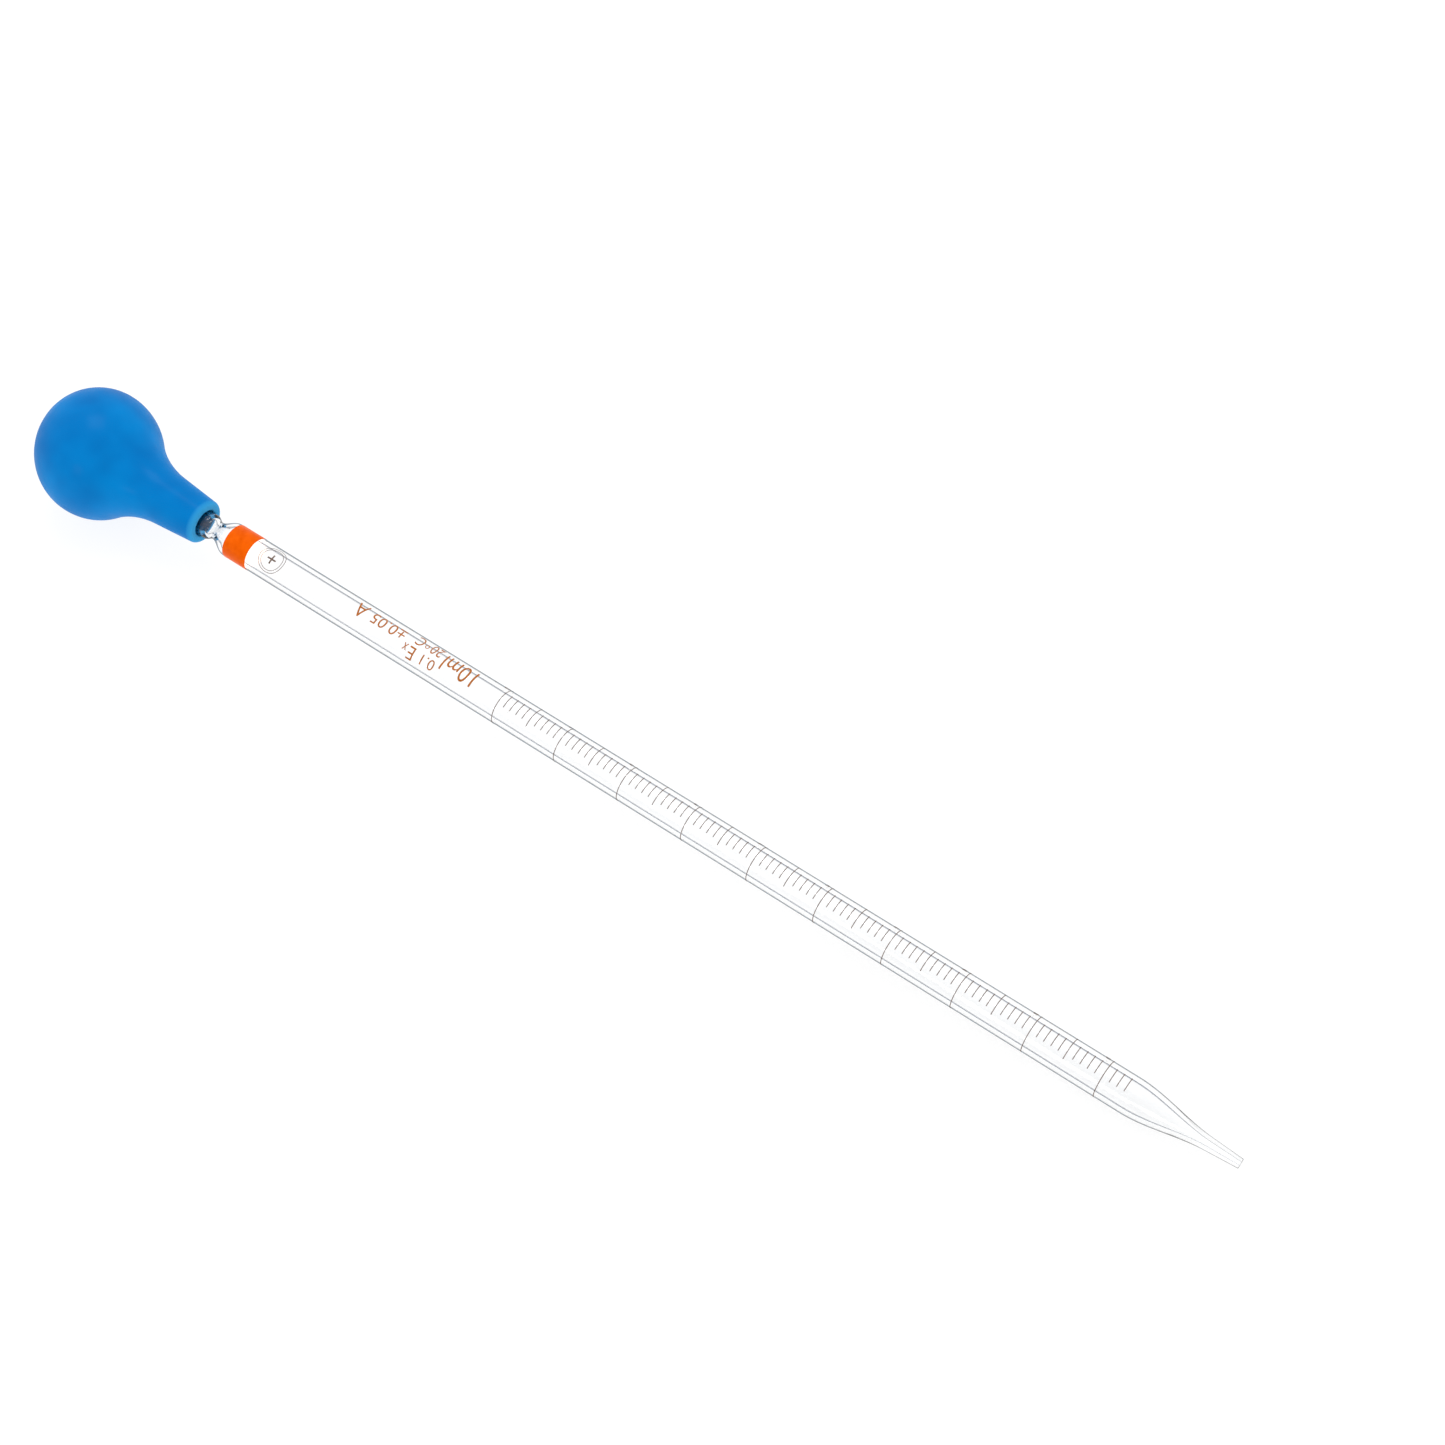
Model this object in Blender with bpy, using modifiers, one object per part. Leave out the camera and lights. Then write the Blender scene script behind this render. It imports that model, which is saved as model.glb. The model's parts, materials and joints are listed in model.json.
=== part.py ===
"""Ten-millilitre graduated glass pipette with a rubber suction bulb, lying on a bench.

Every piece is turned about one axis. Along that axis, distances are measured from the delivery tip
towards the bulb. The pieces hang from one empty at the tip, which lays the pipette down: it rests on
the side of the ball and on the lower end of the straight tube, and the drawn tip stays clear of the
bench. World X runs from the bulb to the tip, Z is up, and the origin is under the middle of the pipette.
"""

import math

import bpy
from mathutils import Matrix

MM = 0.001
ML = 1e-6

# Glass, one piece from the tip to the mouthpiece.
GLASS_LENGTH = 360 * MM
TUBE_DIAMETER = 10.45 * MM
TUBE_BORE = 7.70 * MM
TIP_DIAMETER = 2.8 * MM
TIP_BORE = 1.04 * MM
TIP_SLIM_LENGTH = 9 * MM
TIP_SLIM_SLOPE = 0.06
TIP_TAPER_LENGTH = 23 * MM
SHOULDER_LENGTH = 5.9 * MM
WAIST_DIAMETER = 5.6 * MM
WAIST_BORE = 2.8 * MM
WAIST_FLARE_LENGTH = 2.6 * MM
MOUTHPIECE_LENGTH = 22.1 * MM
MOUTHPIECE_DIAMETER = 7.8 * MM
MOUTHPIECE_BORE = 4.9 * MM
RIM_ROUNDING = 0.6 * MM
TIP_ZONE_SPARE = 3 * MM

# Enamel fired onto the glass.
BAND_WIDTH = 8.5 * MM
BAND_FROM_SHOULDER = 0.6 * MM
ENAMEL_GAP = 0.05 * MM
ENAMEL_THICKNESS = 0.05 * MM
MARK_WIDTH = 0.3 * MM
LOWEST_MARK = 39.5 * MM
MARK_COUNT = 10

# Rubber bulb, pushed over the mouthpiece.
LIP_FROM_WAIST = 4.5 * MM
SOCKET_CLEARANCE = 0.3 * MM
SOCKET_LENGTH = 20 * MM
NECK_DIAMETER = 13.5 * MM
NECK_SLOPE = 0.08
LIP_ROUNDING = 1.4 * MM
FLARE_RADIUS = 28 * MM
BALL_FROM_LIP = 43 * MM
BALL_DIAMETER = 38.8 * MM
CROWN_HEIGHT = 18.7 * MM
BALL_WALL = 2 * MM
COLLAR_LENGTH = 24 * MM
CROWN_START = 12 * MM

# One glass and one rubber moulding are each made in zones, parted by this gap.
ZONE_GAP = 0.3 * MM

# A turned piece has this many flats. Half a flat of turn lays the pipette on flats, not on corners.
FLATS = 32
FLAT_HALF_ANGLE = math.pi / FLATS
ARC_STEP = math.radians(9)
ROUNDING_STEP = math.radians(25)
SHARP_ANGLE = math.radians(35)
MERGE_DISTANCE = 0.00001

# Places along the axis that several pieces share.
TAPER_END = TIP_SLIM_LENGTH + TIP_TAPER_LENGTH
WAIST = GLASS_LENGTH - MOUTHPIECE_LENGTH
SHOULDER = WAIST - SHOULDER_LENGTH
BULB_LIP = WAIST + LIP_FROM_WAIST
BALL_CENTRE = BULB_LIP + BALL_FROM_LIP
MARK_PITCH = ML / (math.pi * (TUBE_BORE / 2) ** 2)

GLASS = ((0.86, 0.93, 0.96, 1.0), 0.03)
BAND_ENAMEL = ((1.0, 0.13, 0.0, 1.0), 0.35)
MARK_ENAMEL = ((0.42, 0.15, 0.05, 1.0), 0.5)
RUBBER = ((0.0, 0.19, 0.60, 1.0), 0.45)


def clear_scene():
    for obj in list(bpy.data.objects):
        bpy.data.objects.remove(obj, do_unlink=True)


def new_collection(name):
    collection = bpy.data.collections.new(name)
    bpy.context.scene.collection.children.link(collection)
    return collection


def new_material(name, finish, transmission=0.0):
    """A Principled material from a finish, which is a colour and a roughness."""
    colour, roughness = finish
    material = bpy.data.materials.new(name)
    material.use_nodes = True
    shader = material.node_tree.nodes["Principled BSDF"]
    shader.inputs["Base Color"].default_value = colour
    shader.inputs["Roughness"].default_value = roughness
    shader.inputs["Metallic"].default_value = 0.0
    shader.inputs["Transmission Weight"].default_value = transmission
    material.diffuse_color = colour
    return material


def ease(start, end, slope, steps):
    """Points after start, up to end, on a cubic that leaves start at a slope and arrives level."""
    (d0, r0), (d1, r1) = start, end
    points = []
    for i in range(1, steps + 1):
        t = i / steps
        rise = t * t * (3 - 2 * t)
        lead = t * (1 - t) ** 2 * (d1 - d0) * slope
        points.append((d0 + t * (d1 - d0), r0 + rise * (r1 - r0) + lead))
    return points


def arc(centre, radii, start, end, step=ARC_STEP):
    """Points of (distance, radius) on an arc or a quarter ellipse, from one angle to another."""
    steps = max(1, math.ceil(abs(end - start) / step))
    points = []
    for i in range(steps + 1):
        angle = start + (end - start) * i / steps
        points.append((centre[0] + radii[0] * math.cos(angle), centre[1] + radii[1] * math.sin(angle)))
    return points


def part_of(outline, low, high):
    """The stretch of an outline between two distances, with a point added at each cut."""
    points = []
    for (d0, r0), (d1, r1) in zip(outline, outline[1:]):
        for cut in (low, high):
            if d0 < cut < d1:
                points.append((cut, r0 + (r1 - r0) * (cut - d0) / (d1 - d0)))
        if low <= d1 <= high:
            points.append((d1, r1))
    if low <= outline[0][0] <= high:
        points.insert(0, outline[0])
    return sorted(points)


def glass_outside():
    """The glass's outer outline, from the tip to the mouthpiece's rounded rim."""
    slim_end = (TIP_SLIM_LENGTH, TIP_DIAMETER / 2 + TIP_SLIM_SLOPE * TIP_SLIM_LENGTH)
    mouth_radius = MOUTHPIECE_DIAMETER / 2
    outline = [(0, TIP_DIAMETER / 2), slim_end]
    outline += ease(slim_end, (TAPER_END, TUBE_DIAMETER / 2), TIP_SLIM_SLOPE, 8)
    outline.append((SHOULDER, TUBE_DIAMETER / 2))
    outline += ease(outline[-1], (WAIST, WAIST_DIAMETER / 2), 0, 6)
    outline += ease(outline[-1], (WAIST + WAIST_FLARE_LENGTH, mouth_radius), 0, 4)
    rim = (GLASS_LENGTH - RIM_ROUNDING, mouth_radius - RIM_ROUNDING)
    return outline + arc(rim, (RIM_ROUNDING, RIM_ROUNDING), math.pi / 2, 0, ROUNDING_STEP)


def glass_bore():
    """The glass's bore, from the tip to the mouthpiece's end."""
    slim_end = (TIP_SLIM_LENGTH, TIP_BORE / 2 + TIP_SLIM_SLOPE / 2 * TIP_SLIM_LENGTH)
    outline = [(0, TIP_BORE / 2), slim_end]
    outline += ease(slim_end, (TAPER_END, TUBE_BORE / 2), TIP_SLIM_SLOPE / 2, 6)
    outline.append((SHOULDER, TUBE_BORE / 2))
    outline += ease(outline[-1], (WAIST, WAIST_BORE / 2), 0, 5)
    outline += ease(outline[-1], (WAIST + WAIST_FLARE_LENGTH, MOUTHPIECE_BORE / 2), 0, 3)
    outline.append((GLASS_LENGTH, MOUTHPIECE_BORE / 2))
    return outline


def bulb_outline(neck, slope, flare, ball):
    """A neck that widens evenly, a concave flare and a ball with a flatter crown, as one outline.

    neck is the radius at the lip, flare the arc's radius, and ball the ball's radius and crown height.
    The flare's arc touches the neck's straight side and the ball.
    """
    radius, crown = ball
    lean = math.atan(slope)
    lift = neck + flare / math.cos(lean) - slope * BULB_LIP
    square = 1 + slope * slope
    half_linear = slope * lift - BALL_CENTRE
    rest = BALL_CENTRE**2 + lift**2 - (radius + flare) ** 2
    centre = (-half_linear - math.sqrt(half_linear**2 - square * rest)) / square
    height = slope * centre + lift
    to_ball = math.atan2(-height, BALL_CENTRE - centre)
    to_neck = lean - math.pi / 2
    outline = [(BULB_LIP, neck)]
    outline += arc((centre, height), (flare, flare), to_neck, to_ball)
    equator = math.pi / 2
    outline += arc((BALL_CENTRE, 0), (radius, radius), math.pi + to_ball, equator)[1:]
    outline += arc((BALL_CENTRE, 0), (crown, radius), equator, 0)[1:]
    outline[-1] = (BALL_CENTRE + crown, 0)
    return outline


def bulb_outside():
    return bulb_outline(NECK_DIAMETER / 2, NECK_SLOPE, FLARE_RADIUS, (BALL_DIAMETER / 2, CROWN_HEIGHT))


def bulb_inside():
    """The socket for the mouthpiece, which opens into a hollow one wall inside the ball."""
    socket = MOUTHPIECE_DIAMETER / 2 + SOCKET_CLEARANCE
    ball = (BALL_DIAMETER / 2 - BALL_WALL, CROWN_HEIGHT - BALL_WALL)
    hollow = bulb_outline(socket, 0, FLARE_RADIUS + BALL_WALL, ball)
    end_of_socket = BULB_LIP + SOCKET_LENGTH
    start = min(d for d, _ in hollow if d > end_of_socket)
    return [(BULB_LIP, socket), (end_of_socket, socket)] + part_of(hollow, start, math.inf)


def turned(name, outside, inside, base, material, parent, collection):
    """Turns the wall between two outlines round the axis, as an object whose origin is on it at base."""
    profile = list(reversed(outside)) + inside
    points = [(radius, 0, distance - base) for distance, radius in profile]
    edges = [(i, i + 1) for i in range(len(points) - 1)]
    if profile[0][1] > 0:
        edges.append((len(points) - 1, 0))
    mesh = bpy.data.meshes.new(name)
    mesh.from_pydata(points, edges, [])
    obj = bpy.data.objects.new(name, mesh)
    collection.objects.link(obj)
    screw = obj.modifiers.new("turn", "SCREW")
    screw.axis = "Z"
    screw.steps = FLATS
    screw.render_steps = FLATS
    screw.use_merge_vertices = True
    screw.merge_threshold = MERGE_DISTANCE
    solid = bpy.data.meshes.new_from_object(obj.evaluated_get(bpy.context.evaluated_depsgraph_get()))
    obj.modifiers.clear()
    obj.data = solid
    bpy.data.meshes.remove(mesh)
    solid.name = name
    solid.shade_smooth()
    solid.set_sharp_from_angle(angle=SHARP_ANGLE)
    solid.materials.append(material)
    obj.location = (0, 0, base)
    obj.parent = parent
    return obj


def in_zones(zones, outside, inside, material, parent, collection):
    """Turns one wall as several pieces, a named zone for each stretch of the axis."""
    for name, (low, high) in zones.items():
        turned(name, part_of(outside, low, high), part_of(inside, low, high), low, material, parent, collection)


def glass(material, parent, collection):
    """The one piece of glass, in zones short enough for a simple shape to follow the bore of each."""
    tip_end = TAPER_END + TIP_ZONE_SPARE
    middle = (tip_end + SHOULDER) / 2
    zones = {
        "glass_tip": (0, tip_end),
        "glass_stem_lower": (tip_end + ZONE_GAP, middle),
        "glass_stem_upper": (middle + ZONE_GAP, SHOULDER - ZONE_GAP),
        "glass_mouthpiece": (SHOULDER, GLASS_LENGTH),
    }
    in_zones(zones, glass_outside(), glass_bore(), material, parent, collection)


def enamel_ring(name, centre, width, material, parent, collection):
    """A thin ring of enamel round the straight tube."""
    inner = TUBE_DIAMETER / 2 + ENAMEL_GAP
    outer = inner + ENAMEL_THICKNESS
    low = centre - width / 2
    high = centre + width / 2
    outside = [(low, outer), (high, outer)]
    inside = [(low, inner), (high, inner)]
    turned(name, outside, inside, centre, material, parent, collection)


def colour_band(material, parent, collection):
    centre = SHOULDER - BAND_FROM_SHOULDER - BAND_WIDTH / 2
    enamel_ring("colour_band", centre, BAND_WIDTH, material, parent, collection)


def ring_marks(material, parent, collection):
    """The full-circle marks: 0 ml nearest the bulb, then one for each millilitre delivered."""
    for ml in range(MARK_COUNT):
        place = LOWEST_MARK + (MARK_COUNT - 1 - ml) * MARK_PITCH
        enamel_ring(f"ring_mark_{ml}", place, MARK_WIDTH, material, parent, collection)


def bulb(material, parent, collection):
    """The rubber bulb: its neck, the side of the ball that creases, and the crown a thumb pushes in."""
    collar_end = BULB_LIP + COLLAR_LENGTH
    crown_start = BALL_CENTRE + CROWN_START
    zones = {
        "bulb_collar": (BULB_LIP, collar_end),
        "bulb_wall": (collar_end + ZONE_GAP, crown_start - ZONE_GAP),
        "bulb_crown": (crown_start, math.inf),
    }
    outline = bulb_outside()
    edge = (BULB_LIP + LIP_ROUNDING, NECK_DIAMETER / 2 - LIP_ROUNDING)
    rounding = arc(edge, (LIP_ROUNDING, LIP_ROUNDING), math.pi, math.pi / 2, ROUNDING_STEP)
    outline = rounding + part_of(outline, BULB_LIP + 2 * LIP_ROUNDING, math.inf)
    in_zones(zones, outline, bulb_inside(), material, parent, collection)


def rest_tilt():
    """The angle of the axis when the ball's side and the tube's lower end both touch the bench."""
    glass = glass_outside()
    ball = bulb_outside()
    flat = math.cos(FLAT_HALF_ANGLE)
    reach = [
        max(math.atan2(flat * (r1 - r0), d1 - d0) for d1, r1 in ball)
        for d0, r0 in glass
        if d0 < WAIST
    ]
    return min(reach)


def lay_down(frame):
    """Lays the axis along X with its tip at +X, resting on the bench, over the middle of the pipette."""
    tilt = rest_tilt()
    flat = math.cos(FLAT_HALF_ANGLE)
    outline = glass_outside() + bulb_outside()
    lift = max(flat * r * math.cos(tilt) - d * math.sin(tilt) for d, r in outline)
    tip_end = max(flat * r * math.sin(tilt) - d * math.cos(tilt) for d, r in outline)
    bulb_end = min(-flat * r * math.sin(tilt) - d * math.cos(tilt) for d, r in outline)
    frame.location = (-(tip_end + bulb_end) / 2, 0, lift)
    turn = Matrix.Rotation(tilt - math.pi / 2, 4, "Y") @ Matrix.Rotation(FLAT_HALF_ANGLE, 4, "Z")
    frame.rotation_euler = turn.to_euler()


def build():
    clear_scene()
    pieces = new_collection("graduated_pipette")
    frame = bpy.data.objects.new("pipette_axis", None)
    pieces.objects.link(frame)
    lay_down(frame)
    glass(new_material("clear_glass", GLASS, transmission=1.0), frame, pieces)
    colour_band(new_material("band_enamel", BAND_ENAMEL), frame, pieces)
    ring_marks(new_material("mark_enamel", MARK_ENAMEL), frame, pieces)
    bulb(new_material("bulb_rubber", RUBBER), frame, pieces)


build()
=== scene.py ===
# %% [markdown]
# # A graduated glass pipette with a rubber suction bulb
# This lesson gives a ready CAD model its looks. The frame holds plain solids in their true places: a
# glass tube drawn down to a fine tip, ten scale rings, a colour band, and a hollow bulb in three zones.
# We measure those solids, build finer pieces in the same places, and paint each piece with a material
# made of nodes.

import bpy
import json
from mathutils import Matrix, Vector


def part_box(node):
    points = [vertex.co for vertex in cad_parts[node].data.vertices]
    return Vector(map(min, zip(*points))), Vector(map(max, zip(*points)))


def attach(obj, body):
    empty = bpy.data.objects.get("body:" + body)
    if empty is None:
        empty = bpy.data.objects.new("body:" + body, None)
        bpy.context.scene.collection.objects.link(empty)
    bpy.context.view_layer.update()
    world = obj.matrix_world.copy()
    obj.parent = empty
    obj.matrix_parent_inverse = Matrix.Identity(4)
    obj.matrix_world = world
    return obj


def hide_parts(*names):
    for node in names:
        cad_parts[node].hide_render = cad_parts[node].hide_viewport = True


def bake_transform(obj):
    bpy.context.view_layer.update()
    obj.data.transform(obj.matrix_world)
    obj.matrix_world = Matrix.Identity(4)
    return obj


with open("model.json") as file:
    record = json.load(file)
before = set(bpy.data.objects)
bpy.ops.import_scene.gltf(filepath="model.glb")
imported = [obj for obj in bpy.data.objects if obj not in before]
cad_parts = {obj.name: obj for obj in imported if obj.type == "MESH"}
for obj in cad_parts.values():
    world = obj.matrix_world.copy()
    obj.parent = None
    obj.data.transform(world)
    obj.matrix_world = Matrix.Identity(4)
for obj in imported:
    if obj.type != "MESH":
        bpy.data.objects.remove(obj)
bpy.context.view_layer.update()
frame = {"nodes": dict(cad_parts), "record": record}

# %% Bring in the tools
import json
import math

import bmesh
import bpy
from mathutils import Matrix, Vector

MM = 0.001

# %% [markdown]
# ## Find the pipette's own axis
# The pipette lies on the bench with its bulb raising one end, so its axis is tilted and no world axis
# runs along it. Turned shapes are far easier to make when the axis is Z. We measure the tilt from the
# middles of two scale rings, and keep one matrix that carries a finished mesh from "millimetres along my
# own axis" to its place.


# %% Measure the axis, the tip and the spacing of the rings
def middle_of(node):
    low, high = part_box(node)
    return (low + high) / 2


LAST_ML = 9
zero_ring = middle_of("ring_mark_0")
last_ring = middle_of(f"ring_mark_{LAST_ML}")
axis = (zero_ring - last_ring).normalized()
ml_pitch = (zero_ring - last_ring).length / LAST_ML / MM
tip_face = Vector(frame["record"]["mounts"][0]["pos_m"])
tip = last_ring + axis * (tip_face - last_ring).dot(axis)
side = axis.cross(Vector((0, 0, 1))).normalized()
up = side.cross(axis)
print("one millilitre is", round(ml_pitch, 3), "mm long; the axis is", [round(value, 4) for value in axis])

# %% The matrix that puts a piece in its place
PLACE = Matrix.Translation(tip) @ Matrix((up, side, axis)).transposed().to_4x4() @ Matrix.Scale(MM, 4)
TILT = math.atan2(axis.z, -axis.x)


def distance_of(point):
    """How far along the axis a point in the world lies, in millimetres from the tip."""
    return (point - tip).dot(axis) / MM


def world_point(distance):
    return PLACE @ Vector((0, 0, distance))


# %% Measure the glass from its CAD zones
def reach_of(node):
    """The span along the axis and the span in radius of a CAD node, in millimetres."""
    distances = []
    radii = []
    for vertex in frame["nodes"][node].data.vertices:
        along = distance_of(vertex.co)
        distances.append(along)
        radii.append((vertex.co - tip - axis * along * MM).length / MM)
    return min(distances), max(distances), min(radii), max(radii)


_, _, BORE_RADIUS, TUBE_RADIUS = reach_of("glass_stem_lower")
SHOULDER, GLASS_END, _, _ = reach_of("glass_mouthpiece")
ZERO_MARK = distance_of(zero_ring)
BAND_LOW, BAND_HIGH, _, _ = reach_of("colour_band")
BULB_LIP, _, _, _ = reach_of("bulb_collar")
CROWN_START, CROWN_END, _, _ = reach_of("bulb_crown")
_, _, _, BALL_RADIUS = reach_of("bulb_wall")
print("tube radius", round(TUBE_RADIUS, 3), "bore radius", round(BORE_RADIUS, 3))
print("glass from 0 to", round(GLASS_END, 2))
print("bulb from", round(BULB_LIP, 2), "to", round(CROWN_END, 2), "ball radius", round(BALL_RADIUS, 2))


# %% [markdown]
# ## Turned shapes
# Glass tube and moulded bulb are both round, so each can be made from half of its section. We set out the
# section as a line of points, distance along the axis and radius, and spin it about Z. A line that closes
# on itself becomes a closed wall. Straight runs need two points, and curves come from two small helpers:
# one eases a radius smoothly from one value to another, as flame-drawn glass does, and the other walks
# round an arc.


# %% Helpers for sections
def eased(start, end, slope, steps):
    """Points after start, up to end, that leave at a slope and arrive level."""
    (d0, r0), (d1, r1) = start, end
    points = []
    for i in range(1, steps + 1):
        t = i / steps
        rise = t * t * (3 - 2 * t)
        lead = t * (1 - t) ** 2 * (d1 - d0) * slope
        points.append((d0 + t * (d1 - d0), r0 + rise * (r1 - r0) + lead))
    return points


def arc(centre, radii, start, end, steps):
    """Points on an arc or a quarter ellipse, from one angle to another, in degrees."""
    points = []
    for i in range(steps + 1):
        angle = math.radians(start + (end - start) * i / steps)
        points.append((centre[0] + radii[0] * math.cos(angle), centre[1] + radii[1] * math.sin(angle)))
    return points


# %% Spin a section into a closed shape
MERGE_DISTANCE = 0.0005
SHARP_ANGLE = math.radians(32)
FACES_INWARD = -0.5


def spun(section, closed, steps):
    """A bmesh of a section of (distance, radius) points turned once round Z."""
    bm = bmesh.new()
    verts = [bm.verts.new((radius, 0, distance)) for distance, radius in section]
    edges = [bm.edges.new(pair) for pair in zip(verts, verts[1:])]
    if closed:
        edges.append(bm.edges.new((verts[-1], verts[0])))
    bmesh.ops.spin(
        bm, geom=verts + edges, axis=(0, 0, 1), cent=(0, 0, 0), angle=math.tau, steps=steps, use_merge=True
    )
    bmesh.ops.remove_doubles(bm, verts=bm.verts, dist=MERGE_DISTANCE)
    bmesh.ops.recalc_face_normals(bm, faces=bm.faces)
    return bm


def finished(bm, name, material, underside=None):
    """Puts a bmesh in its place in the world, as an object that sits at the origin."""
    if underside:
        for face in bm.faces:
            centre = face.calc_center_median()
            outward = Vector((centre.x, centre.y, 0)).normalized()
            face.material_index = 1 if face.normal.dot(outward) < FACES_INWARD else 0
    bm.transform(PLACE)
    mesh = bpy.data.meshes.new(name)
    bm.to_mesh(mesh)
    bm.free()
    mesh.shade_smooth()
    mesh.set_sharp_from_angle(angle=SHARP_ANGLE)
    mesh.materials.append(material)
    if underside:
        mesh.materials.append(underside)
    piece = bpy.data.objects.new(name, mesh)
    bpy.context.scene.collection.objects.link(piece)
    print(name, "has", len(mesh.polygons), "faces")
    return piece


# %% [markdown]
# ## Materials made of nodes
# Every material here starts from one Principled shader. Real surfaces are never quite even, so each gets
# a noise that reads Object coordinates, turned to run along the pipette. The noise drives a slight change
# of colour, of roughness, or of height. Values that are the same all over are set straight on the shader.


# %% Helpers for materials
NOISE_SPAN = (0.3, 0.7)


def new_material(name, **values):
    """A Principled material with its constant values set on the shader's own sockets."""
    material = bpy.data.materials.new(name)
    material.use_nodes = True
    shader = material.node_tree.nodes["Principled BSDF"]
    for socket, value in values.items():
        shader.inputs[socket.replace("_", " ")].default_value = value
    return material, shader


def noise(material, size, detail=3, stretch=1):
    """A noise whose blobs are about size millimetres across, and stretch times as long along the pipette."""
    tree = material.node_tree
    place = tree.nodes.new("ShaderNodeTexCoord")
    mapping = tree.nodes.new("ShaderNodeMapping")
    texture = tree.nodes.new("ShaderNodeTexNoise")
    per_metre = 1 / (size * MM)
    mapping.inputs["Rotation"].default_value = (0, -TILT, 0)
    mapping.inputs["Scale"].default_value = (per_metre / stretch, per_metre, per_metre)
    texture.inputs["Scale"].default_value = 1
    texture.inputs["Detail"].default_value = detail
    tree.links.new(place.outputs["Object"], mapping.inputs["Vector"])
    tree.links.new(mapping.outputs["Vector"], texture.inputs["Vector"])
    return texture.outputs["Fac"]


def tint(material, shader, pattern, low, high, span=NOISE_SPAN):
    """Colours the surface between two tones, as a pattern goes from one end of a span to the other."""
    ramp = material.node_tree.nodes.new("ShaderNodeValToRGB")
    for stop, position, tone in zip(ramp.color_ramp.elements, span, (low, high)):
        stop.position = position
        stop.color = (*tone, 1)
    material.node_tree.links.new(pattern, ramp.inputs["Fac"])
    material.node_tree.links.new(ramp.outputs["Color"], shader.inputs["Base Color"])


def roughen(material, shader, pattern, low, high):
    """Lets roughness wander between two values with a pattern."""
    spread = material.node_tree.nodes.new("ShaderNodeMapRange")
    spread.inputs["From Min"].default_value = NOISE_SPAN[0]
    spread.inputs["From Max"].default_value = NOISE_SPAN[1]
    spread.inputs["To Min"].default_value = low
    spread.inputs["To Max"].default_value = high
    material.node_tree.links.new(pattern, spread.inputs["Value"])
    material.node_tree.links.new(spread.outputs["Result"], shader.inputs["Roughness"])


def emboss(material, shader, pattern, height):
    """Raises the surface with a pattern, by a height in millimetres."""
    bump = material.node_tree.nodes.new("ShaderNodeBump")
    bump.inputs["Distance"].default_value = height * MM
    material.node_tree.links.new(pattern, bump.inputs["Height"])
    material.node_tree.links.new(bump.outputs["Normal"], shader.inputs["Normal"])


# %% [markdown]
# ## The glass
# The tube, its drawn tip, the shoulder, the waist and the mouthpiece are one piece of clear borosilicate
# glass with a bore right through. A solid rod with a painted bore could stand in for it, but only a real
# closed wall bends the light at the waist and the tip as glass does. So we spin one closed section, out
# along the outside and back along the bore.

# %% Sizes of the drawn tip and of the waist, in millimetres
TIP_RADIUS = 1.4
TIP_BORE_RADIUS = 0.52
TIP_SLIM_LENGTH = 9
TIP_SLIM_SLOPE = 0.06
TAPER_END = 32
WAIST_FROM_SHOULDER = 5.9
WAIST_RADIUS = 2.8
WAIST_BORE_RADIUS = 1.4
FLARE_LENGTH = 2.6
MOUTH_RADIUS = 3.9
MOUTH_BORE_RADIUS = 2.45
FIRE_ROUNDING = 0.6
TIP_ROUNDING = 0.12
GLASS_STEPS = 128


# %% The glass's outside and its bore
def glass_outside():
    slim_end = (TIP_SLIM_LENGTH, TIP_RADIUS + TIP_SLIM_SLOPE * TIP_SLIM_LENGTH)
    waist = (SHOULDER + WAIST_FROM_SHOULDER, WAIST_RADIUS)
    mouth = (waist[0] + FLARE_LENGTH, MOUTH_RADIUS)
    rim = (GLASS_END - FIRE_ROUNDING, MOUTH_RADIUS - FIRE_ROUNDING)
    outline = arc((TIP_ROUNDING, TIP_RADIUS - TIP_ROUNDING), (TIP_ROUNDING, TIP_ROUNDING), 180, 90, 3)
    outline.append(slim_end)
    outline += eased(slim_end, (TAPER_END, TUBE_RADIUS), TIP_SLIM_SLOPE, 24)
    outline.append((SHOULDER, TUBE_RADIUS))
    outline += eased(outline[-1], waist, 0, 16)
    outline += eased(waist, mouth, 0, 10)
    return outline + arc(rim, (FIRE_ROUNDING, FIRE_ROUNDING), 90, 0, 5)


def glass_bore():
    slim_end = (TIP_SLIM_LENGTH, TIP_BORE_RADIUS + TIP_SLIM_SLOPE / 2 * TIP_SLIM_LENGTH)
    waist = (SHOULDER + WAIST_FROM_SHOULDER, WAIST_BORE_RADIUS)
    mouth = (waist[0] + FLARE_LENGTH, MOUTH_BORE_RADIUS)
    outline = [(0, TIP_BORE_RADIUS), slim_end]
    outline += eased(slim_end, (TAPER_END, BORE_RADIUS), TIP_SLIM_SLOPE / 2, 20)
    outline.append((SHOULDER, BORE_RADIUS))
    outline += eased(outline[-1], waist, 0, 14)
    outline += eased(waist, mouth, 0, 8)
    outline.append((GLASS_END, MOUTH_BORE_RADIUS))
    return outline


# %% [markdown]
# Clear glass is a Principled shader with full transmission. Drawn tube always carries faint streaks along
# its length, so a long stretched noise gives it a trace of relief and a trace of roughness. On a white
# sheet the edges of real glass show as thin dark lines. With white light all round, refraction alone
# leaves them too faint, so a Layer Weight node darkens the glass where it is seen edge on, in one way
# outside and in another along the bore.


# %% The glass's finish
CLEAR_TONE = (0.99, 0.995, 1.0)
OUTER_EDGE = ((0.0, 0.003, 0.012), (0.59, 0.71))
BORE_EDGE = ((0.02, 0.03, 0.06), (0.50, 0.68))


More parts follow.
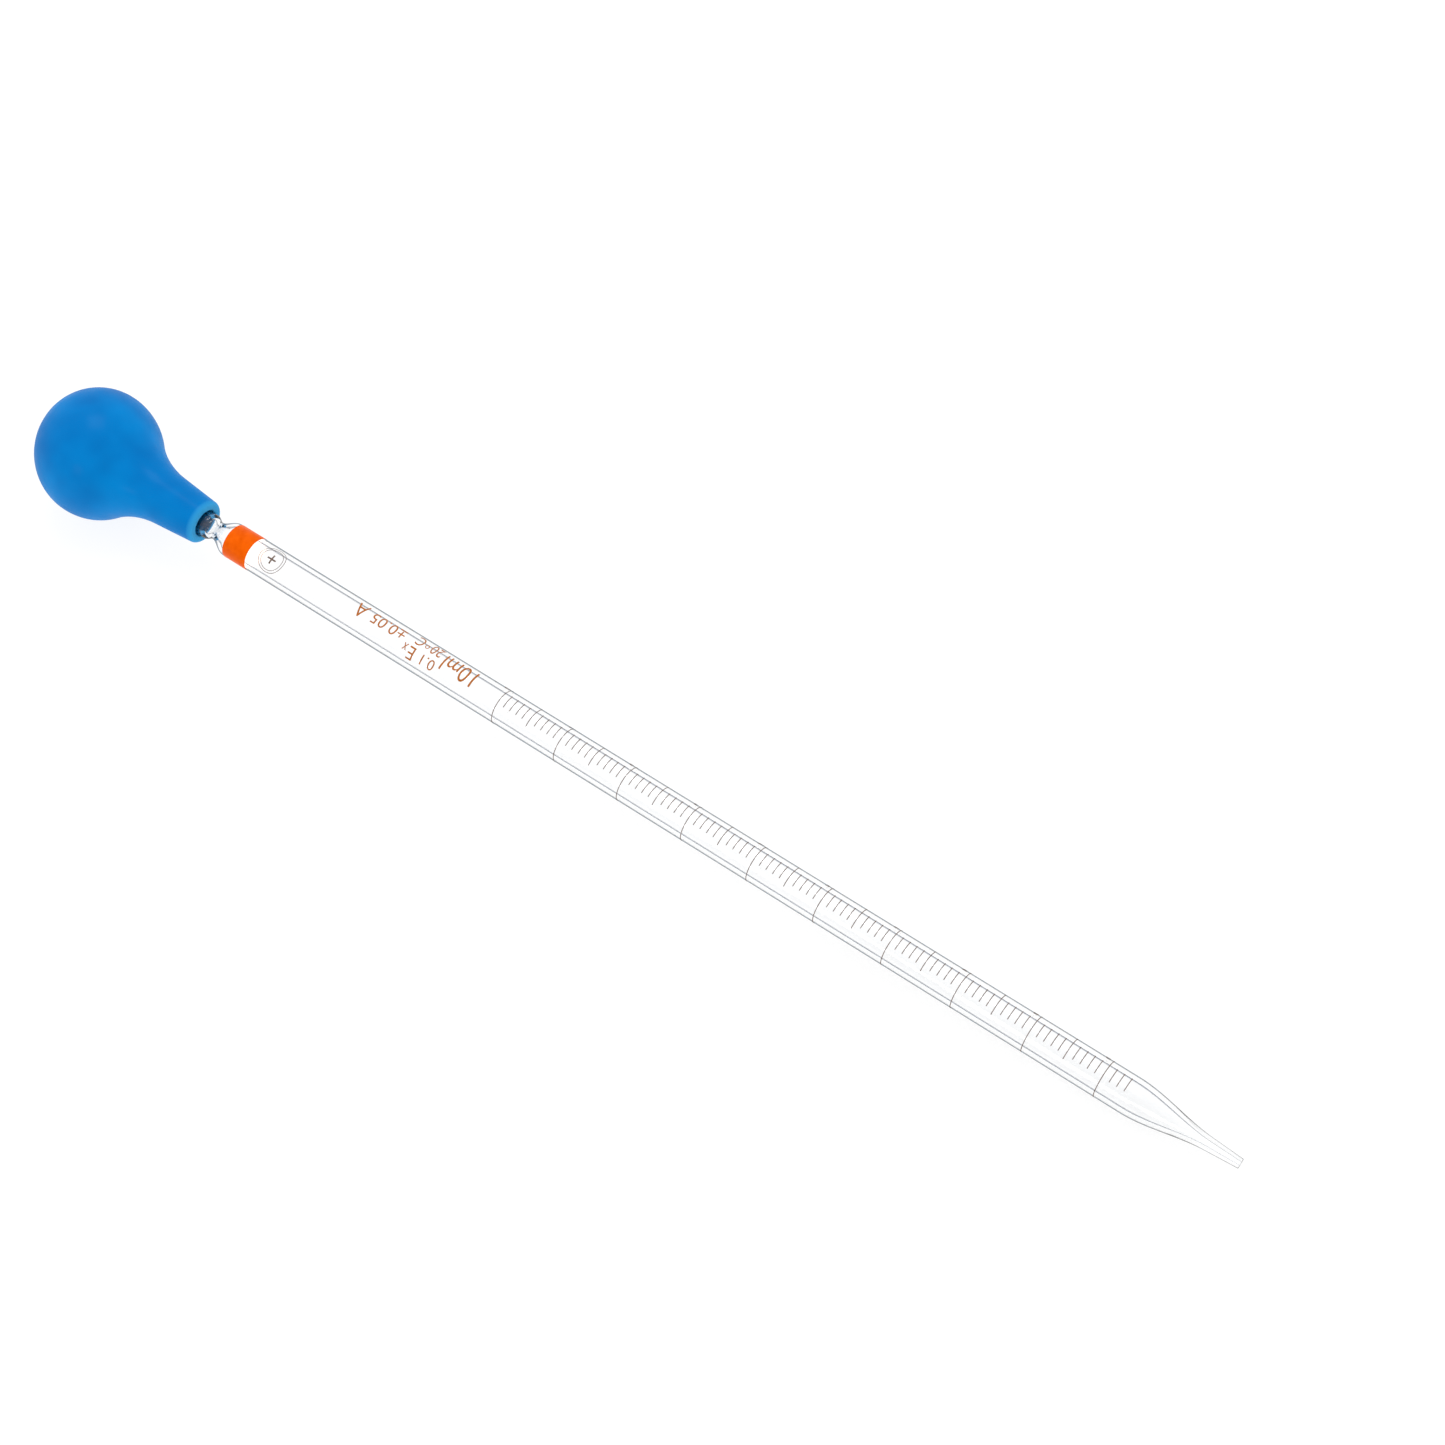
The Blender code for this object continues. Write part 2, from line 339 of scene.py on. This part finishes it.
def clear_glass(name, edge):
    edge_tone, edge_span = edge
    material, shader = new_material(name, IOR=1.474, Transmission_Weight=1.0)
    streaks = noise(material, 1.2, detail=2, stretch=60)
    roughen(material, shader, streaks, 0.0, 0.01)
    emboss(material, shader, streaks, 0.0002)
    edges = material.node_tree.nodes.new("ShaderNodeLayerWeight")
    edges.inputs["Blend"].default_value = 0.5
    tint(material, shader, edges.outputs["Facing"], CLEAR_TONE, edge_tone, span=edge_span)
    return material


# %% Make the glass
glass_section = glass_outside() + list(reversed(glass_bore()))
outer_glass = clear_glass("clear_glass", OUTER_EDGE)
bore_glass = clear_glass("bore_glass", BORE_EDGE)
glass_bm = spun(glass_section, True, GLASS_STEPS)
glass = finished(glass_bm, "glass_pipette", outer_glass, bore_glass)
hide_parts("glass_tip", "glass_stem_lower", "glass_stem_upper", "glass_mouthpiece")
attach(glass, "pipette")

# %% [markdown]
# ## The bulb
# The bulb is one hollow rubber moulding: a neck that grips the mouthpiece, a flare, and a ball with a
# slightly flatter crown. A sphere joined to a cone would leave a hard ring between them. Instead the
# section is a straight neck, a concave arc that touches both the neck and the ball, and the ball's own
# arc. Inside, the socket widens into the hollow, so the rubber has its real thickness.

# %% Sizes of the bulb, in millimetres
NECK_RADIUS = 6.75
NECK_SLOPE = 0.08
LIP_ROUNDING = 1.4
MOUTH_ROUNDING = 0.4
NECK_FLARE_RADIUS = 28
BALL_FROM_LIP = 43
RUBBER_WALL = 2
SOCKET_RADIUS = MOUTH_RADIUS + 0.3
SOCKET_LENGTH = 20
BALL_CENTRE = BULB_LIP + BALL_FROM_LIP
CROWN_HEIGHT = CROWN_END - BALL_CENTRE
BULB_STEPS = 128


# %% The neck, the flare and the ball as one section
def bulb_section(neck, slope, flare, radius, crown):
    """From the lip to the pole: a neck that widens evenly, an arc that touches neck and ball, the ball."""
    lean = math.atan(slope)
    lift = neck + flare / math.cos(lean) - slope * BULB_LIP
    square = 1 + slope * slope
    half_linear = slope * lift - BALL_CENTRE
    rest = BALL_CENTRE**2 + lift**2 - (radius + flare) ** 2
    centre = (-half_linear - math.sqrt(half_linear**2 - square * rest)) / square
    height = slope * centre + lift
    to_ball = math.degrees(math.atan2(-height, BALL_CENTRE - centre))
    to_neck = math.degrees(lean) - 90
    section = arc((centre, height), (flare, flare), to_neck, to_ball, 14)
    section += arc((BALL_CENTRE, 0), (radius, radius), 180 + to_ball, 90, 24)[1:]
    section += arc((BALL_CENTRE, 0), (crown, radius), 90, 0, 24)[1:]
    section[-1] = (BALL_CENTRE + crown, 0)
    return section


def bulb_outside():
    lip_centre = (BULB_LIP + LIP_ROUNDING, NECK_RADIUS - LIP_ROUNDING)
    lip = arc(lip_centre, (LIP_ROUNDING, LIP_ROUNDING), 180, 90, 8)
    return lip + bulb_section(NECK_RADIUS, NECK_SLOPE, NECK_FLARE_RADIUS, BALL_RADIUS, CROWN_HEIGHT)


def bulb_inside():
    mouth_centre = (BULB_LIP + MOUTH_ROUNDING, SOCKET_RADIUS + MOUTH_ROUNDING)
    mouth = arc(mouth_centre, (MOUTH_ROUNDING, MOUTH_ROUNDING), 180, 270, 4)
    socket_end = BULB_LIP + SOCKET_LENGTH
    hollow = bulb_section(
        SOCKET_RADIUS, 0, NECK_FLARE_RADIUS + RUBBER_WALL, BALL_RADIUS - RUBBER_WALL,
        CROWN_HEIGHT - RUBBER_WALL,
    )
    return mouth + [point for point in hollow if point[0] > socket_end or point[1] == 0]


# %% [markdown]
# Rubber gives under its own weight. The ball leans a little to one side of the glass's axis, which a
# perfect turned shape would miss, so the rings of the mesh are shifted sideways: not at all in the
# socket, then more and more towards the crown.

# %% Let the ball lean
LEAN_START = 345
LEAN_FULL = 375
LEAN_SLOPE = 0.043


def lean_at(distance):
    """How far sideways the bulb's middle lies at a distance, in millimetres."""
    if distance < LEAN_START:
        return 0
    bend = min(distance, LEAN_FULL) - LEAN_START
    return LEAN_SLOPE * (bend * bend / 2 / (LEAN_FULL - LEAN_START) + max(0, distance - LEAN_FULL))


# %% [markdown]
# The rubber is a strong blue with a satin skin. It is coloured all through, so there is no paint to wear,
# but the mould leaves soft blotches, and powder and handling leave a fine dry grain. One wide noise tints
# it and one fine noise raises the skin by two hundredths of a millimetre. A trace of coat gives the
# soft highlights of moulded rubber. The rim of the lip catches the bright light, and that highlight is
# painted into the colour: a ramp on the distance along the axis mixes in a pale tone that fades out
# within two millimetres.

# %% The painted highlight on the lip
LIP_HIGHLIGHT_LENGTH = 1.8
LIP_HIGHLIGHT_TONE = (0.04, 0.36, 0.72)


def wear_the_lip(material, shader):
    """Mixes a painted highlight, a pale tone, into the colour: most at the lip and none past its length."""
    tree = material.node_tree
    place = tree.nodes.new("ShaderNodeTexCoord")
    turned = tree.nodes.new("ShaderNodeMapping")
    parts = tree.nodes.new("ShaderNodeSeparateXYZ")
    lip_highlight_fade = tree.nodes.new("ShaderNodeMapRange")
    mix = tree.nodes.new("ShaderNodeMixRGB")
    lip = world_point(BULB_LIP)
    lip_along = lip.x * math.cos(TILT) - lip.z * math.sin(TILT)
    turned.inputs["Rotation"].default_value = (0, -TILT, 0)
    lip_highlight_fade.inputs["From Min"].default_value = lip_along - LIP_HIGHLIGHT_LENGTH * MM
    lip_highlight_fade.inputs["From Max"].default_value = lip_along
    mix.inputs["Color2"].default_value = (*LIP_HIGHLIGHT_TONE, 1)
    tree.links.new(place.outputs["Object"], turned.inputs["Vector"])
    tree.links.new(turned.outputs["Vector"], parts.inputs["Vector"])
    tree.links.new(parts.outputs["X"], lip_highlight_fade.inputs["Value"])
    tree.links.new(lip_highlight_fade.outputs["Result"], mix.inputs["Fac"])
    tree.links.new(shader.inputs["Base Color"].links[0].from_socket, mix.inputs["Color1"])
    tree.links.new(mix.outputs["Color"], shader.inputs["Base Color"])


# %% The rubber's finish
RUBBER_SHEEN = (0.02, 0.55, 0.95, 1)
RUBBER_TONES = ((0.0, 0.160, 0.500), (0.0, 0.232, 0.640))


def bulb_rubber():
    material, shader = new_material(
        "bulb_rubber", Specular_IOR_Level=0.05, Coat_Weight=0.07, Coat_Roughness=0.24
    )
    shader.inputs["Specular Tint"].default_value = RUBBER_SHEEN
    blotches = noise(material, 16, detail=2)
    tint(material, shader, blotches, *RUBBER_TONES)
    # The paler lip is a painted highlight, mixed into the colour.
    wear_the_lip(material, shader)
    roughen(material, shader, noise(material, 5, detail=4), 0.42, 0.55)
    emboss(material, shader, noise(material, 0.5, detail=4), 0.02)
    return material


# %% Make the bulb, with its ball leaning a little to one side
bulb_bm = spun(list(reversed(bulb_outside())) + bulb_inside(), False, BULB_STEPS)
for vertex in bulb_bm.verts:
    vertex.co.y += lean_at(vertex.co.z)
bulb = finished(bulb_bm, "rubber_bulb", bulb_rubber())
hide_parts("bulb_collar", "bulb_wall", "bulb_crown")
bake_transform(bulb)

# %% [markdown]
# ## The colour band
# An orange band of enamel is fired on below the shoulder. It names the size of the pipette at a glance.
# It is a thin coat with a smooth skin, slightly uneven where the brush laps, so it is a low ring with
# rounded edges that sits a little into the glass, and a noise makes its colour wander. Its underside gets
# a second, pale material with a painted glow, so that the far half stays quiet when it is seen through
# the tube.

# %% Sizes and finish of the band
ENAMEL_SUNK = 0.02
BAND_PROUD = 0.05
BAND_SHEEN = (1.0, 0.35, 0.05, 1)
BAND_TONES = ((0.78, 0.092, 0.0), (0.93, 0.130, 0.002))


def band_enamel():
    material, shader = new_material("band_enamel", Specular_IOR_Level=0.08)
    shader.inputs["Specular Tint"].default_value = BAND_SHEEN
    laps = noise(material, 2.5, detail=3)
    tint(material, shader, laps, *BAND_TONES)
    roughen(material, shader, laps, 0.25, 0.38)
    emboss(material, shader, noise(material, 1.5), 0.004)
    return material


# %% The pale coat under the colour, with a painted glow
BAND_GLOW_TONES = ((0.94, 0.80, 0.74), (0.98, 0.90, 0.86))
UNDER_GLOW = 0.8


def under_coat(name, tones):
    """A pale coat with a painted glow, so that it reads as pale as the sheet seen through the glass."""
    material, shader = new_material(name, Specular_IOR_Level=0.1, Emission_Strength=UNDER_GLOW)
    shader.inputs["Emission Color"].default_value = (*tones[1], 1)
    grain = noise(material, 0.6, detail=2)
    tint(material, shader, grain, *tones)
    roughen(material, shader, grain, 0.5, 0.7)
    return material


# %% Make the band
def band_section():
    inner = TUBE_RADIUS - ENAMEL_SUNK
    edge = (BAND_PROUD, BAND_PROUD)
    section = [(BAND_HIGH, inner), (BAND_LOW, inner)]
    section += arc((BAND_LOW + BAND_PROUD, TUBE_RADIUS), edge, 180, 90, 3)
    return section + arc((BAND_HIGH - BAND_PROUD, TUBE_RADIUS), edge, 90, 0, 3)


band_bm = spun(band_section(), True, GLASS_STEPS)
# The band's underside is pale, with a painted glow.
band_underside_glow = under_coat("band_underside_glow", BAND_GLOW_TONES)
band = finished(band_bm, "enamel_band", band_enamel(), band_underside_glow)
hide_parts("colour_band")
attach(band, "pipette")

# %% [markdown]
# ## The scale
# The scale is printed in brown enamel: a full ring at each millilitre, a medium line at each half, and
# short lines between. Each line is a thin bar that follows the tube. The bar starts as a small rectangle,
# which is turned to where the line begins and then spun through the line's own angle. The ends of open
# bars are filled afterwards.

# %% Sizes of the lines, in millimetres and degrees
MARK_WIDTH = 0.22
INK_PROUD = 0.03
PRINT_TURN = -29.1
SHORT_LINE = (0, 48)
MEDIUM_LINE = (-14, 78)
TENTHS_PRINTED = 93
RING_STEPS = 64
LINE_STEP = 8
WHOLE_TURN = 360


# %% A bar of ink round part of the tube
def add_bar(bm, distance, start, sweep, steps):
    """Adds one printed line, which follows the tube from a start angle through a sweep, in degrees."""
    inner = TUBE_RADIUS - ENAMEL_SUNK
    outer = TUBE_RADIUS + INK_PROUD
    low = distance - MARK_WIDTH / 2
    high = distance + MARK_WIDTH / 2
    corners = ((low, inner), (high, inner), (high, outer), (low, outer))
    verts = [bm.verts.new((radius, 0, along)) for along, radius in corners]
    edges = [bm.edges.new((verts[i], verts[(i + 1) % 4])) for i in range(4)]
    turn = Matrix.Rotation(math.radians(PRINT_TURN + start), 3, "Z")
    bmesh.ops.rotate(bm, verts=verts, cent=(0, 0, 0), matrix=turn)
    whole_turn = sweep == WHOLE_TURN
    bmesh.ops.spin(
        bm, geom=verts + edges, axis=(0, 0, 1), cent=(0, 0, 0), angle=math.radians(sweep), steps=steps,
        use_merge=whole_turn,
    )


def closed_bars(bm):
    """Fills the open ends of the bars, and turns every face outwards."""
    ends = [edge for edge in bm.edges if edge.is_boundary]
    if ends:
        bmesh.ops.holes_fill(bm, edges=ends, sides=4)
    bmesh.ops.recalc_face_normals(bm, faces=bm.faces)
    return bm


# %% The ink's finish
INK_TONES = ((0.09, 0.055, 0.040), (0.22, 0.145, 0.110))


def mark_enamel():
    material, shader = new_material("mark_enamel", Specular_IOR_Level=0.15)
    grain = noise(material, 0.4, detail=3)
    tint(material, shader, grain, *INK_TONES)
    roughen(material, shader, grain, 0.4, 0.6)
    return material


# The undersides of the printed marks get the same pale painted glow.
INK_GLOW_TONES = ((0.80, 0.78, 0.76), (0.92, 0.91, 0.90))
INK = mark_enamel()
INK_UNDERSIDE_GLOW = under_coat("mark_underside_glow", INK_GLOW_TONES)


# %% Make the rings and the lines
def mark_distance(tenths):
    return ZERO_MARK - tenths * ml_pitch / 10


rings = bmesh.new()
lines = bmesh.new()
for tenths in range(TENTHS_PRINTED + 1):
    if tenths % 10 == 0:
        add_bar(rings, mark_distance(tenths), 0, WHOLE_TURN, RING_STEPS)
    else:
        first, last = MEDIUM_LINE if tenths % 5 == 0 else SHORT_LINE
        sweep = last - first
        add_bar(lines, mark_distance(tenths), first, sweep, round(sweep / LINE_STEP))
ring_piece = finished(closed_bars(rings), "millilitre_rings", INK, INK_UNDERSIDE_GLOW)
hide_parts(*[f"ring_mark_{ml}" for ml in range(LAST_ML + 1)])
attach(ring_piece, "pipette")
line_piece = finished(closed_bars(lines), "scale_lines", INK, INK_UNDERSIDE_GLOW)
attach(line_piece, "pipette")

# %% [markdown]
# ## Printed figures and words
# Blender's text object gives flat outlines. To print them on a tube we turn the text into a flat mesh,
# slice it into strips so that it can bend, give it the thickness of a coat of ink, and then roll it: what
# was across becomes a distance along the tube, what was up becomes an angle, and what was thickness
# becomes a radius.

# %% Text as a flat mesh
STROKE_THINNING = -0.003
TINY_EDGE = 0.0001


def flat_words(words):
    """A flat bmesh of some words, one unit to the em."""
    curve = bpy.data.curves.new("words", "FONT")
    curve.body = words
    curve.offset = STROKE_THINNING
    curve.resolution_u = 4
    holder = bpy.data.objects.new("words", curve)
    bpy.context.scene.collection.objects.link(holder)
    ready = holder.evaluated_get(bpy.context.evaluated_depsgraph_get())
    flat = bpy.data.meshes.new_from_object(ready)
    bm = bmesh.new()
    bm.from_mesh(flat)
    bpy.data.objects.remove(holder)
    bpy.data.curves.remove(curve)
    bpy.data.meshes.remove(flat)
    bmesh.ops.remove_doubles(bm, verts=bm.verts, dist=TINY_EDGE)
    bmesh.ops.dissolve_degenerate(bm, edges=bm.edges, dist=TINY_EDGE)
    return bm


# %% Fit, slice, thicken and roll a flat shape onto the tube
STRIP_ANGLE = 9


def rolled_on(bm, distances, angles):
    """Rolls a flat bmesh onto the tube so that it fills a stretch of the axis and a range of angles."""
    xs = [vertex.co.x for vertex in bm.verts]
    ys = [vertex.co.y for vertex in bm.verts]
    low = Vector((min(xs), min(ys), 0))
    size = Vector((max(xs) - low.x, max(ys) - low.y, 0))
    bmesh.ops.translate(bm, verts=bm.verts, vec=-low)
    strips = math.ceil((angles[1] - angles[0]) / STRIP_ANGLE)
    for i in range(1, strips):
        everything = bm.verts[:] + bm.edges[:] + bm.faces[:]
        cut = (0, size.y * i / strips, 0)
        bmesh.ops.bisect_plane(bm, geom=everything, plane_co=cut, plane_no=(0, 1, 0))
    thick = bmesh.ops.extrude_face_region(bm, geom=bm.faces[:])
    top = [part for part in thick["geom"] if isinstance(part, bmesh.types.BMVert)]
    bmesh.ops.translate(bm, verts=top, vec=(0, 0, 1))
    bmesh.ops.recalc_face_normals(bm, faces=bm.faces)
    length = distances[1] - distances[0]
    sweep = angles[1] - angles[0]
    for vertex in bm.verts:
        distance = distances[0] + length * vertex.co.x / size.x
        angle = math.radians(PRINT_TURN + angles[1] - sweep * vertex.co.y / size.y)
        radius = TUBE_RADIUS - ENAMEL_SUNK + (ENAMEL_SUNK + INK_PROUD) * vertex.co.z
        vertex.co = (radius * math.cos(angle), radius * math.sin(angle), distance)
    bm.normal_update()
    return bm


def gathered(parts):
    """One bmesh made of several."""
    whole = bmesh.new()
    for part in parts:
        shared = bpy.data.meshes.new("part")
        part.to_mesh(shared)
        part.free()
        whole.from_mesh(shared)
        bpy.data.meshes.remove(shared)
    return whole


# %% [markdown]
# Each ring has its figure beside it, on the side of the bulb. The words above the scale give the size,
# the temperature it was checked at, the way it is read, its tolerance and its class.

# %% Make the figures beside the rings
FIGURE_FROM_RING = 0.9
FIGURE_EM = 3.6
FIGURE_ANGLES = (68, 102)


def figure(ml):
    """One figure beside its ring, as wide as its own shape asks, so that a 1 stays narrow."""
    flat = flat_words(str(ml))
    xs = [vertex.co.x for vertex in flat.verts]
    start = mark_distance(10 * ml) + FIGURE_FROM_RING
    return rolled_on(flat, (start, start + FIGURE_EM * (max(xs) - min(xs))), FIGURE_ANGLES)


all_figures = gathered([figure(ml) for ml in range(LAST_ML + 1)])
figures = finished(all_figures, "scale_figures", INK, INK_UNDERSIDE_GLOW)
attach(figures, "pipette")

# %% Make the words above the scale
WORDS = [
    ("10ml", (242.5, 253.4), (-4, 56)),
    ("20", (255.0, 258.7), (24, 64)),
    ("o", (259.4, 260.7), (30, 46)),
    ("C", (261.4, 263.9), (24, 64)),
    ("0.1", (254.8, 259.3), (-24, 10)),
    ("E", (262.0, 264.0), (-30, 13)),
    ("x", (264.7, 266.2), (-10, 13)),
    ("±0.05", (267.4, 279.0), (8, 46)),
    ("A", (281.2, 285.0), (2, 52)),
]
BROWN_TONES = ((0.34, 0.085, 0.004), (0.54, 0.165, 0.012))


def brown_ink():
    material, shader = new_material("brown_ink", Specular_IOR_Level=0.15)
    grain = noise(material, 0.4, detail=3)
    tint(material, shader, grain, *BROWN_TONES)
    roughen(material, shader, grain, 0.4, 0.6)
    return material


rolled_words = [rolled_on(flat_words(text), distances, angles) for text, distances, angles in WORDS]
words = gathered(rolled_words)
words_piece = finished(words, "printed_words", brown_ink(), INK_UNDERSIDE_GLOW)
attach(words_piece, "pipette")

# %% [markdown]
# Below the band a small round stamp says that the pipette was checked. It is two thin rings with a plus
# sign. A ring is a disc with a smaller disc taken out: the disc is inset by the width of the line, and
# the middle is deleted.

# %% Make the stamp
STAMP_DISTANCE = 315.3
STAMP_ANGLE = 13
STAMP_RADIUS = 4.2
STAMP_LINE = 0.16
STAMP_INNER = 0.82 * STAMP_RADIUS
STAMP_PLUS = 0.35 * STAMP_RADIUS
STAMP_STEPS = 64


def flat_ring(radius):
    bm = bmesh.new()
    bmesh.ops.create_circle(bm, cap_ends=True, segments=STAMP_STEPS, radius=radius)
    disc = bm.faces[:]
    bmesh.ops.inset_region(
        bm, faces=disc, thickness=STAMP_LINE, use_boundary=True, use_even_offset=True
    )
    bmesh.ops.delete(bm, geom=disc, context="FACES")
    return bm


def in_stamp(bm, half_width):
    """Rolls a flat shape onto the middle of the stamp, so that it reaches half_width each way."""
    half_angle = math.degrees(half_width / TUBE_RADIUS)
    distances = (STAMP_DISTANCE - half_width, STAMP_DISTANCE + half_width)
    return rolled_on(bm, distances, (STAMP_ANGLE - half_angle, STAMP_ANGLE + half_angle))


stamp_parts = [
    in_stamp(flat_ring(STAMP_RADIUS), STAMP_RADIUS),
    in_stamp(flat_ring(STAMP_INNER), STAMP_INNER),
    in_stamp(flat_words("+"), STAMP_PLUS),
]
stamp = finished(gathered(stamp_parts), "check_stamp", INK, INK_UNDERSIDE_GLOW)
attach(stamp, "pipette")

# %% [markdown]
# ## The studio
# The pipette lies on a plain white sheet in even, bright light. Clear glass shows only what it bends, so
# the light matters more to it than its own finish: a glowing sheet, like a light table, and a bright
# ceiling keep it clear.

# %% The sheet it lies on
FLOOR_SIZE = 60
FLOOR_DROP = 0.0002
SHEET_GLOW = 0.88
SHEET_TONES = ((0.16, 0.16, 0.16), (0.18, 0.18, 0.18))


def white_sheet():
    material, shader = new_material(
        "white_sheet", Roughness=0.9, Specular_IOR_Level=0.1, Emission_Strength=SHEET_GLOW
    )
    shader.inputs["Emission Color"].default_value = (1, 1, 1, 1)
    tint(material, shader, noise(material, 40, detail=2), *SHEET_TONES)
    return material


def make_floor():
    bm = bmesh.new()
    bmesh.ops.create_grid(bm, x_segments=1, y_segments=1, size=FLOOR_SIZE / 2)
    bmesh.ops.translate(bm, verts=bm.verts, vec=(0, 0, -FLOOR_DROP))
    mesh = bpy.data.meshes.new("bench_sheet")
    bm.to_mesh(mesh)
    bm.free()
    mesh.materials.append(white_sheet())
    sheet = bpy.data.objects.new("bench_sheet", mesh)
    bpy.context.scene.collection.objects.link(sheet)


make_floor()

# %% The light from all round, bright above and a little darker near the horizon
SKY_STRENGTH = 1.0
SKY_TONES = [(0.0, 0.9), (0.47, 0.9), (0.50, 0.72), (0.56, 0.70), (0.72, 0.88), (1.0, 0.95)]


def light_all_round():
    world = bpy.data.worlds.new("studio")
    bpy.context.scene.world = world
    world.use_nodes = True
    tree = world.node_tree
    place = tree.nodes.new("ShaderNodeTexCoord")
    parts = tree.nodes.new("ShaderNodeSeparateXYZ")
    height = tree.nodes.new("ShaderNodeMapRange")
    ramp = tree.nodes.new("ShaderNodeValToRGB")
    height.inputs["From Min"].default_value = -1
    tree.links.new(place.outputs["Generated"], parts.inputs["Vector"])
    tree.links.new(parts.outputs["Z"], height.inputs["Value"])
    tree.links.new(height.outputs["Result"], ramp.inputs["Fac"])
    stops = ramp.color_ramp.elements
    while len(stops) < len(SKY_TONES):
        stops.new(0.5)
    for stop, (position, tone) in zip(stops, SKY_TONES):
        stop.position = position
        stop.color = (tone, tone, tone, 1)
    background = tree.nodes["Background"]
    background.inputs["Strength"].default_value = SKY_STRENGTH
    tree.links.new(ramp.outputs["Color"], background.inputs["Color"])


light_all_round()


# %% Two soft lamps: one overhead, a little behind, and a weaker one low in front
def soft_lamp(name, direction, distance, size, power):
    light = bpy.data.lights.new(name, "AREA")
    light.size = size
    light.energy = power
    lamp = bpy.data.objects.new(name, light)
    place = Vector(direction).normalized() * distance
    lamp.location = place
    lamp.rotation_euler = (-place).to_track_quat("-Z", "Y").to_euler()
    bpy.context.scene.collection.objects.link(lamp)


soft_lamp("overhead", (-0.25, 0.25, 1), 1.2, 0.5, 3)
soft_lamp("front", (0, -1, 0.35), 1.4, 0.3, 1)

# %% [markdown]
# ## The camera
# The camera looks down from over the right front corner with a long lens, so that the pipette crosses the
# picture from the tip at the lower right to the bulb at the upper left.

# %% Set up the camera
CAMERA_AIM = Vector((0.0209, 0.0318, 0.012))
CAMERA_AZIMUTH = math.radians(35.7)
CAMERA_ELEVATION = math.radians(52.6)
CAMERA_DISTANCE = 0.7295
LENS = 66


def make_camera():
    back = Vector((
        math.sin(CAMERA_AZIMUTH) * math.cos(CAMERA_ELEVATION),
        -math.cos(CAMERA_AZIMUTH) * math.cos(CAMERA_ELEVATION),
        math.sin(CAMERA_ELEVATION),
    ))
    lens = bpy.data.cameras.new("studio_camera")
    lens.lens = LENS
    lens.sensor_width = 36
    lens.clip_start = 0.01
    camera = bpy.data.objects.new("studio_camera", lens)
    camera.location = CAMERA_AIM + back * CAMERA_DISTANCE
    camera.rotation_euler = (-back).to_track_quat("-Z", "Y").to_euler()
    bpy.context.scene.collection.objects.link(camera)
    bpy.context.scene.camera = camera


make_camera()
bpy.context.scene.view_settings.view_transform = "Standard"
